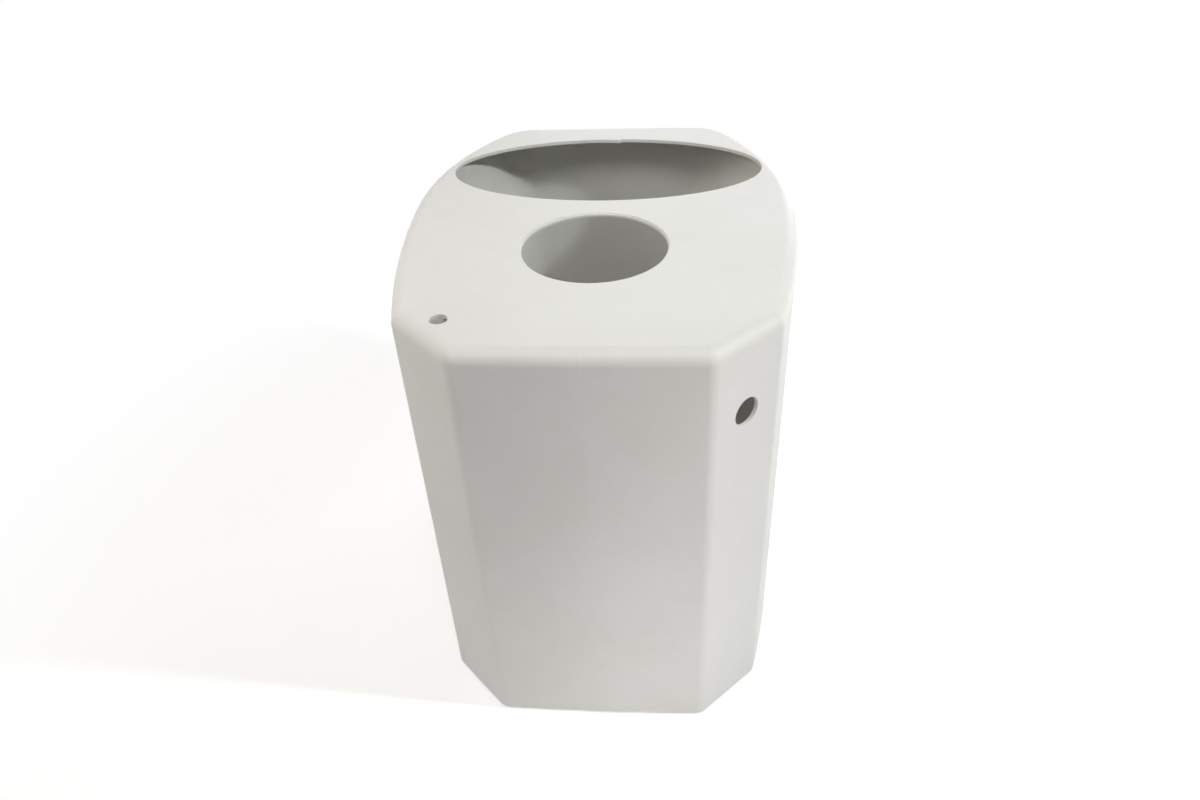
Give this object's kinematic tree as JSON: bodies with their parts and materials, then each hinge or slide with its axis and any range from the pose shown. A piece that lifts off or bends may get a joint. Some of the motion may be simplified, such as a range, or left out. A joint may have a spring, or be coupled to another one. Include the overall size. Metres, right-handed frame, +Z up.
{
  "type": "water softener tank",
  "caption": "Hollow moulded salt tank for a cabinet water softener, with chamfered rear corners, a round well hole, an oval filling opening and overflow and line holes.",
  "frame": {"origin": "middle of the flat base, at the middle of the body's width and depth", "axes": "+Z up; -Y out of the flat rear face, which stands to a wall; +Y towards the filling opening; +X towards the chamfer with the overflow hole"},
  "size_m": [0.324, 0.41, 0.392],
  "materials": {
    "moulded_plastic": "off-white moulded plastic, fine satin skin"
  },
  "bodies": {
    "root": {"tank_body": "moulded_plastic"}
  },
  "joints": []
}
